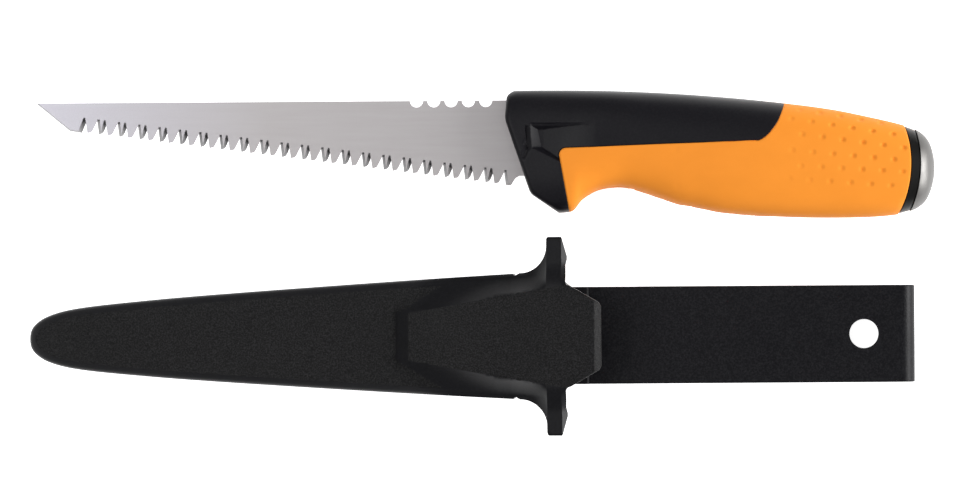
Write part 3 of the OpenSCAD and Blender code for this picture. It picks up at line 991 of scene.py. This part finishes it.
def front_top(s, w):
    """Outside of the sheath's front."""
    a = np.abs(w)
    d = plan_distance(s, w)
    bevel = np.clip(d / BORDER, 0, 1)
    body = RIM_H + (BODY_T - RIM_H) * bevel ** 0.85
    body = body - edge_drop(d, 0.5)
    edge = pad_edge(s)
    outline = rim(np.minimum(s, 154))
    x = np.clip((a - edge) / np.maximum(outline - edge - 0.6, 1), 0, 1)
    pad = pad_height(s)
    bordered = body + (pad - body) * (1 - x) ** 1.7
    plain = RIM_H + 0.3 + (pad - RIM_H - 0.3) * (1 - x) ** 1.35
    flank = bordered + (plain - bordered) * smoothstep(s, 121, 150)
    on_pad = a <= edge + 1e-4
    z = np.where(s > PAD_S, np.where(on_pad, pad, flank), body)
    sweep = np.clip((s - 153.5) / (GUARD_S - 153.5), 0, 1) ** 3.2
    wing = GUARD_RISE + (pad - GUARD_RISE) * (1 - smoothstep(a, 15.5, 24.5))
    z = np.where(on_pad, z, z + (wing - z) * sweep)
    return guard_top(s, a, z, wing, pad)


def guard_top(s, a, z, wing, pad):
    """The guard's flat face with its bevel to the right, and the tongue's thin edges and end bevel."""
    on_wing = s > GUARD_S - 0.01
    bevel = np.clip((s - (BODY_LEN - 2.3)) / 2.3, 0, 1.2) * smoothstep(a, 16.2, 19.5)
    face = wing - 1.9 * bevel
    face = face - edge_drop(np.maximum(GUARD_HALF - a, 0), 0.5)
    z = np.where(on_wing, np.where(a <= pad_edge(s) + 1e-4, pad, face), z)
    tip_bevel = np.clip((s - (TONGUE_END - 2.15)) / 2.15, 0, 1) * 1.75
    on_tongue = s > BODY_LEN + 0.35
    chamfer = np.clip(0.42 - distance_to(TONGUE_SIDE, s, a), 0, 1) * 0.9
    return np.where(on_tongue, pad - np.maximum(tip_bevel, chamfer), z)


def hollow_half(s):
    """Half width of the blade's hollow."""
    sides = [float(rim(at)) - SIDE_WALL for at in (20, 40, 88)]
    return np.interp(s, [12, 20, 40, 88, 128, 200], [5, *sides, 14.4, 14.6])


def front_bottom(s, w):
    """Inside of the front shell: flat edges on the back shell, the hollow, and the tongue's underside."""
    a = np.abs(w)
    ceiling = np.interp(s, [12, 20, 40], [BODY_T - WALL - drop for drop in (2.4, 0.6, 0)])
    low = np.where((a < hollow_half(s)) & (s > 12), ceiling, SPLIT_H)
    high = np.interp(s, [PAD_S + 8, 140, 154, GUARD_S],
                     [BODY_T - WALL - 0.5, BODY_T + 1.6, BODY_T + 2.9, GUARD_RISE])
    wide = np.interp(s, [PAD_S + 8, 140, 154, GUARD_S, 200], [4.5, 8, 10.9, 13.2, 14.5])
    low = np.where((a < wide) & (s > PAD_S + 8), np.maximum(high, low), low)
    rib = np.where(a < 4, np.sqrt(np.maximum(CATCH_R ** 2 - (s - TONGUE_END + 3.4) ** 2, 0)), 0)
    return np.where(s > BODY_LEN + 0.35, GUARD_RISE - rib, low)


def build_front_shell():
    guard = guard_columns()
    flat = flat_grid([body_columns(), guard, tongue_columns(guard[-1])])
    bm = upright_guard(raised(flat, front_top, front_bottom))
    middles = np.array([face.calc_center_median() for face in bm.faces])
    for face, grain in zip(bm.faces, is_grained(middles[:, 0], np.abs(middles[:, 1]))):
        face.material_index = 0 if grain else 1
    return new_object("front_shell", bm, BODY, sharp=28)


def is_grained(s, a):
    """Whether a place on the front has the moulded grain. Its border, flanks and wings are smooth."""
    pad = (s > PAD_S + 4.5) & (a < pad_edge(s) + 0.05)
    ahead = s < PAD_S + 2.2 * np.maximum(a - pad_edge(s), 0)
    return pad | (s > BODY_LEN) | (ahead & (s < 140) & (plan_distance(s, a) > BORDER - 0.05))


def back_bottom(s, w):
    """Back of the sheath: rounded edges, the guard's drop and the seat that the strap lies against."""
    a = np.abs(w)
    d = plan_distance(s, w)
    z = edge_drop(d, 1.8)
    z = np.where(s > GUARD_S - 0.01, -GUARD_DROP + edge_drop(GUARD_HALF - a, 0.6), z)
    level = (2 * FOLD_R - s * math.sin(LEAN)) / math.cos(LEAN)
    return np.where((a < STRAP_HALF) & (s > SEAT_S), level, z)


def back_top(s, _w):
    """Inside of the back shell, and the thin lip on which the strap leaves the mouth."""
    level = (2 * FOLD_R + LIP_T - s * math.sin(LEAN)) / math.cos(LEAN)
    lip = level - LIP_T * np.clip(s - LIP_S + 0.5, 0, 1)
    return np.where(s > BODY_LEN + 0.01, lip, SPLIT_H)


def build_back_shell():
    guard = guard_columns()
    last = guard[-1]
    middle = len(last) // 2
    first = last[middle - 17:middle + 18]
    lip = [first, [(p[0] + 0.03, p[1]) for p in first]]
    lip += [[(s, STRAP_HALF * k / 17) for k in range(-17, 18)] for s in (176.5, 178, 179.5, 180.0, LIP_S)]
    flat = flat_grid([body_columns(), guard, lip])
    return new_object("back_shell", upright_guard(raised(flat, back_top, back_bottom)), BODY, sharp=28)


# ---------- strap ----------

def hole_block(at, r):
    """Grid from a round hole out to its square, so that its edge is a true circle."""
    half, steps = HOLE_SQUARE, range(2 * HOLE_SQUARE)
    square = [(half, k - half) for k in steps] + [(half - k, half) for k in steps]
    square += [(-half, half - k) for k in steps] + [(k - half, -half) for k in steps]
    rows = []
    for x, y in square + square[:1]:
        a = math.atan2(y, x)
        inner = (r * math.cos(a), r * math.sin(a))
        shares = (0, 0.05, 0.12, 0.3, 0.55, 0.8, 1)
        rows.append([(at + inner[0] + (x - inner[0]) * f, inner[1] + (y - inner[1]) * f) for f in shares])
    return rows


def strap_lines():
    """Places across the strap: close together at its edges, 1 mm apart beside the holes."""
    side = [HOLE_SQUARE + (STRAP_HALF - HOLE_SQUARE) * k / 7 for k in range(1, 7)]
    side += [15.3, 15.55, 15.68, STRAP_HALF]
    middle = [float(k) for k in range(-HOLE_SQUARE, HOLE_SQUARE + 1)]
    return [-w for w in reversed(side)] + middle + side


def strap_blocks():
    """Grids of the flat strap, with a square round each hole."""
    lines = strap_lines()
    holes = (HOLE_S, LEG_HOLE)
    squares = {hole + side for hole in holes for side in (-HOLE_SQUARE, HOLE_SQUARE)}
    marks = sorted({SEAT_S, FOLD_S, LEG_START, BAND_END} | squares)
    blocks = []
    for a, b in zip(marks, marks[1:]):
        over_hole = any(a < hole < b for hole in holes)
        steps = 2 * HOLE_SQUARE if over_hole else max(2, int(round(b - a)))
        if a == FOLD_S:
            steps = 28
        stations = list(np.linspace(a, b, steps + 1))
        if b == BAND_END:
            stations = stations[:-1] + [BAND_END - 0.5, BAND_END - 0.2, BAND_END - 0.06, BAND_END]
        if a == SEAT_S:
            stations = [SEAT_S, SEAT_S + 0.06, SEAT_S + 0.3] + stations[1:]
        parts = [lines]
        if over_hole:
            parts = [[w for w in lines if w <= -HOLE_SQUARE], [w for w in lines if w >= HOLE_SQUARE]]
        blocks += [[[(x, cut_corner(x, w)) for w in part] for x in stations] for part in parts]
    blocks += [hole_block(HOLE_S, HOLE_R), hole_block(LEG_HOLE, HOLE_LEG_R)]
    return blocks


def cut_corner(x, w):
    """Draws the edges in over the last few millimetres of the clip leg."""
    cut = max(0, CORNER_CUT - (BAND_END - x))
    if abs(w) <= HOLE_SQUARE:
        return w
    share = (abs(w) - HOLE_SQUARE) / (STRAP_HALF - HOLE_SQUARE)
    return math.copysign(HOLE_SQUARE + share * (STRAP_HALF - HOLE_SQUARE - cut), w)


def strap_edge(x, y):
    """Distance in from the strap's edges and the rims of its holes."""
    cut = np.maximum(0, CORNER_CUT - (BAND_END - x))
    d = np.minimum(STRAP_HALF - cut - np.abs(y), np.minimum(x - SEAT_S, BAND_END - x))
    d = np.minimum(d, np.abs(np.hypot(x - HOLE_S, y) - HOLE_R))
    return np.minimum(d, np.abs(np.hypot(x - LEG_HOLE, y) - HOLE_LEG_R))


def strap_outer(x, y):
    return STRAP_T - edge_drop(strap_edge(x, y), 0.35)


def strap_inner(x, y):
    """Inside of the strap, with the low lip that keeps a belt in."""
    lip = np.maximum(2.2 ** 2 - (x - (BAND_END - 6)) ** 2, 0) ** 0.5 - 0.6
    return edge_drop(strap_edge(x, y), 0.3) - np.maximum(lip, 0)


def bend_strap(co):
    """Takes the flat strap (x along it, y across, z out) round its fold."""
    x, y, n = co
    if x <= FOLD_S:
        return Vector((x, y, 2 * FOLD_R - STRAP_T + n))
    if x >= LEG_START:
        return Vector((FOLD_S - (x - LEG_START), y, STRAP_T - n))
    turn = math.pi / 2 - math.pi * (x - FOLD_S) / (LEG_START - FOLD_S)
    r = FOLD_R - STRAP_T + n
    return Vector((FOLD_S + r * math.cos(turn), y, FOLD_R + r * math.sin(turn)))


def build_strap():
    bm = raised(flat_grid(strap_blocks()), strap_outer, strap_inner)
    for v in bm.verts:
        v.co = bend_strap(v.co)
    return new_object("strap", bm, STRAP)


# ---------- materials ----------

class Nodes:
    """A material being made: its node tree, its shader and the object's own coordinates."""

    def __init__(self, name, **inputs):
        self.material = bpy.data.materials.new(name)
        self.material.use_nodes = True
        self.tree = self.material.node_tree
        self.shader = self.tree.nodes["Principled BSDF"]
        for key, value in inputs.items():
            self.shader.inputs[key.replace("_", " ")].default_value = value
        self.place = self.tree.nodes.new("ShaderNodeTexCoord").outputs["Object"]

    def add(self, kind, **inputs):
        node = self.tree.nodes.new(kind)
        for key, value in inputs.items():
            self.set(node.inputs[key.replace("_", " ")], value)
        return node

    def set(self, socket, value):
        if isinstance(value, bpy.types.NodeSocket):
            self.tree.links.new(value, socket)
        else:
            socket.default_value = value

    def stretched(self, x, y, z):
        return self.add("ShaderNodeMapping", Vector=self.place, Scale=(x, y, z)).outputs["Vector"]

    def noise(self, scale, detail=3.0, vector=None, roughness=0.55):
        node = self.add("ShaderNodeTexNoise", Vector=vector or self.place, Scale=scale, Detail=detail,
                        Roughness=roughness)
        return node.outputs["Fac"]

    def spread(self, value, low, high, to_low=0.0, to_high=1.0):
        """Maps a value's range onto another."""
        node = self.add("ShaderNodeMapRange", Value=value)
        for key, number in zip(("From Min", "From Max", "To Min", "To Max"), (low, high, to_low, to_high)):
            node.inputs[key].default_value = number
        return node.outputs["Result"]

    def mixed(self, share, a, b):
        node = self.add("ShaderNodeMix")
        node.data_type = "RGBA"
        self.set(node.inputs[0], share)
        self.set(node.inputs[6], a)
        self.set(node.inputs[7], b)
        return node.outputs[2]

    def bump(self, height, strength, distance, under=None):
        node = self.add("ShaderNodeBump", Height=height, Strength=strength, Distance=distance)
        if under:
            self.tree.links.new(under, node.inputs["Normal"])
        return node.outputs["Normal"]

    def finish(self, colour, roughness, normal):
        self.set(self.shader.inputs["Base Color"], colour)
        self.set(self.shader.inputs["Roughness"], roughness)
        self.set(self.shader.inputs["Normal"], normal)
        return self.material


def rgba(r, g, b):
    return (r, g, b, 1.0)


def ground_steel(name, dark, light, rough, brush):
    """Satin steel with fine brush marks, cloudy patches and a little wear in its sheen."""
    m = Nodes(name, Metallic=1.0)
    marks = m.noise(900, 4, m.stretched(*brush))
    clouds = m.noise(55, 3)
    grain = m.noise(2600, 2)
    tone = m.add("ShaderNodeMath", Value=marks)
    tone.operation = "MULTIPLY_ADD"
    tone.inputs[1].default_value = 0.5
    m.tree.links.new(m.spread(clouds, 0.3, 0.7, 0.0, 0.5), tone.inputs[2])
    colour = m.mixed(tone.outputs[0], rgba(*dark), rgba(*light))
    normal = m.bump(grain, 0.25, 0.00002, m.bump(marks, 0.2, 0.00002))
    return m.finish(colour, m.spread(marks, 0.2, 0.8, rough - 0.06, rough + 0.08), normal)


def blade_steel():
    """Blade steel: satin, with painted light: a little cooler and lighter towards the tip."""
    m = Nodes("blade_satin", Metallic=0.6)
    marks = m.noise(700, 5, m.stretched(0.06, 1.0, 1.0))
    speckle = m.noise(2300, 3)
    split = m.add("ShaderNodeSeparateXYZ", Vector=m.place)
    tip_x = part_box("saw_blade")[0].x
    # Painted light: the steel turns paler and cooler over the last 75 mm to the tip, where the light falls
    # brighter.
    painted_tip_light_share = m.spread(split.outputs["X"], tip_x + 0.075, tip_x)
    steel = m.mixed(m.spread(marks, 0.3, 0.7), rgba(0.380, 0.360, 0.364), rgba(0.398, 0.380, 0.385))
    lit_tip_tone = m.mixed(m.spread(speckle, 0.3, 0.7), rgba(0.435, 0.425, 0.47), rgba(0.485, 0.475, 0.525))
    colour = m.mixed(painted_tip_light_share, steel, lit_tip_tone)
    normal = m.bump(speckle, 0.3, 0.00002, m.bump(marks, 0.06, 0.00002))
    return m.finish(colour, m.spread(speckle, 0.2, 0.8, 0.36, 0.48), normal)


def moulded(name, dark, light, rough, grain_scale, grain_height, sheen_patch=0.05):
    """Moulded black plastic: a fine spark-eroded grain over slow changes in sheen."""
    m = Nodes(name, Specular_IOR_Level=0.13)
    grain = m.noise(grain_scale, 3, roughness=0.7)
    coarse = m.noise(grain_scale * 0.35, 2)
    patch = m.noise(38, 3)
    colour = m.mixed(m.spread(grain, 0.42, 0.72), rgba(*dark), rgba(*light))
    normal = m.bump(grain, 0.8, grain_height, m.bump(coarse, 0.5, grain_height))
    return m.finish(colour, m.spread(patch, 0.3, 0.7, rough - sheen_patch, rough + sheen_patch), normal)


def grip_rubber():
    """Orange elastomer: matt, with a fine leathery skin and faint handling marks."""
    m = Nodes("grip_elastomer", Specular_IOR_Level=0.1)
    skin = m.noise(2200, 3, roughness=0.6)
    marks = m.noise(90, 4, m.stretched(1.0, 1.6, 1.0))
    colour = m.mixed(m.spread(marks, 0.3, 0.75), rgba(0.80, 0.262, 0.027), rgba(0.765, 0.248, 0.0245))
    normal = m.bump(skin, 0.35, 0.00003, m.bump(marks, 0.08, 0.0002))
    return m.finish(colour, m.spread(skin, 0.3, 0.7, 0.56, 0.68), normal)


def give(obj, *materials):
    """Sets a piece's materials, in the order that its faces refer to them."""
    if obj.data.materials:
        obj.data.materials.clear()
    for material in materials:
        obj.data.materials.append(material)


# Steels: name, darkest and lightest tone, roughness, and how its brush marks are stretched.
STEELS = {
    # The ground steel is darker than the blade: its own ground finish, with painted shade for facets that
    # face away from the light.
    "ground": ("tooth_ground_shaded", (0.10, 0.098, 0.10), (0.32, 0.315, 0.32), 0.42, (1, 0.25, 1)),
    "cap": ("cap_satin", (0.11, 0.107, 0.103), (0.18, 0.175, 0.17), 0.48, (1, 0.3, 0.3)),
    "rivet": ("rivet_plain", (0.30, 0.30, 0.30), (0.45, 0.45, 0.45), 0.4, (1, 1, 1)),
}
# Moulded plastics: name, darkest and lightest tone, roughness, and the grain's fineness and height.
PLASTICS = {
    "nylon": ("core_nylon", (0.004, 0.0037, 0.0055), (0.0075, 0.007, 0.009), 0.40, 1500, 0.00002),
    "collar": ("collar_plastic", (0.003, 0.003, 0.003), (0.006, 0.005, 0.004), 0.38, 1500, 0.00002),
    "grain": ("sheath_grain", (0.0006, 0.0006, 0.0009), (0.019, 0.0188, 0.0197), 0.46, 2100, 0.0002),
    "smooth": ("sheath_smooth", (0.003, 0.003, 0.004), (0.006, 0.006, 0.0075), 0.36, 1300, 0.00002),
    "strap": ("strap_plastic", (0.0008, 0.0008, 0.002), (0.011, 0.011, 0.013), 0.42, 1700, 0.00008),
}


def build_materials():
    made = {"blade": blade_steel(), "grip": grip_rubber()}
    made.update({key: ground_steel(*values) for key, values in STEELS.items()})
    made.update({key: moulded(*values) for key, values in PLASTICS.items()})
    return made


# ---------- stage ----------

def build_floor():
    bm = bmesh.new()
    half = 3.0
    corners = [(-half, -half, 0), (half, -half, 0), (half, half, 0), (-half, half, 0)]
    bm.faces.new([bm.verts.new(c) for c in corners])
    floor = new_object("floor", bm, Matrix.Translation((0, 0, -0.0004)))
    m = Nodes("floor_paper", Roughness=0.9, Specular_IOR_Level=0.1)
    tint = m.mixed(m.noise(12, 2), rgba(0.93, 0.93, 0.93), rgba(0.95, 0.95, 0.95))
    m.set(m.shader.inputs["Base Color"], tint)
    m.shader.inputs["Emission Color"].default_value = rgba(1, 1, 1)
    m.shader.inputs["Emission Strength"].default_value = 0.9
    give(floor, m.material)


def area_light(name, place, target, size, watts):
    data = bpy.data.lights.new(name, "AREA")
    data.shape = "DISK"
    data.size = size
    data.energy = watts
    light = bpy.data.objects.new(name, data)
    light.location = place
    light.rotation_euler = (Vector(target) - Vector(place)).to_track_quat("-Z", "Y").to_euler()
    bpy.context.scene.collection.objects.link(light)


def build_light():
    """An evenly lit room with a weak softbox on the left, a strong one on the right and a small one above."""
    world = bpy.data.worlds.new("studio")
    world.use_nodes = True
    world.node_tree.nodes["Background"].inputs["Color"].default_value = rgba(1, 1, 1)
    world.node_tree.nodes["Background"].inputs["Strength"].default_value = 0.57
    bpy.context.scene.world = world
    area_light("left", (-0.7, 0.5, 2.0), (0, 0, 0), 1.4, 5.0)
    area_light("right", (2.2, 0.0, 0.85), (0.05, 0, 0), 1.2, 60.0)
    area_light("overhead", (-0.5, 0.0, 0.9), (-0.14, 0, 0), 0.5, 2.6)


def build_view():
    bpy.context.scene.view_settings.view_transform = "Standard"


def build_camera():
    """Square on from above, far away, turned by the small roll of the view."""
    data = bpy.data.cameras.new("camera")
    distance, frame_width, mid_height = 3.0, 0.3175, 0.012
    data.sensor_width = 36
    data.lens = 36 * distance / frame_width
    camera = bpy.data.objects.new("camera", data)
    camera.location = (0.0027, 0.0073, distance + mid_height)
    camera.rotation_euler = (0, 0, math.radians(-0.38))
    bpy.context.scene.collection.objects.link(camera)
    bpy.context.scene.camera = camera


# ---------- the object ----------

def put(piece, body, slot, node, *materials):
    """The piece rides on its body, takes the given materials and stands for that CAD node, which is hidden.
    The slot is not used.
    """
    give(piece, *materials)
    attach(piece, body)
    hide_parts(node)


def build_saw(look):
    put(build_blade(), "saw", "blade_steel", "saw_blade", look["blade"], look["ground"])
    put(build_core("core_left", True), "saw", "core_nylon", "handle_core_left", look["nylon"])
    put(build_core("core_right", False), "saw", "core_nylon", "handle_core_right", look["nylon"])
    put(build_grip(), "saw", "orange_grip", "soft_grip", look["grip"])
    put(build_collar(), "saw", "collar_black", "cap_collar", look["collar"])
    put(build_cap(), "saw", "cap_steel", "strike_cap", look["cap"])


def build_sheath(look):
    front, back = build_front_shell(), build_back_shell()
    put(front, "sheath", "sheath_black", "sheath_front_shell", look["grain"], look["smooth"])
    put(back, "sheath", "sheath_black", "sheath_back_shell", look["smooth"])
    strap = build_strap()
    give(strap, look["strap"])
    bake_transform(strap)
    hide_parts("belt_hanger", "belt_clip_leg")


look = build_materials()
build_saw(look)
build_sheath(look)
for node in ("core_rivets", "cap_pin", "hanger_rivets"):
    give(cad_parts[node], look["rivet"])
build_floor()
build_light()
build_camera()
build_view()
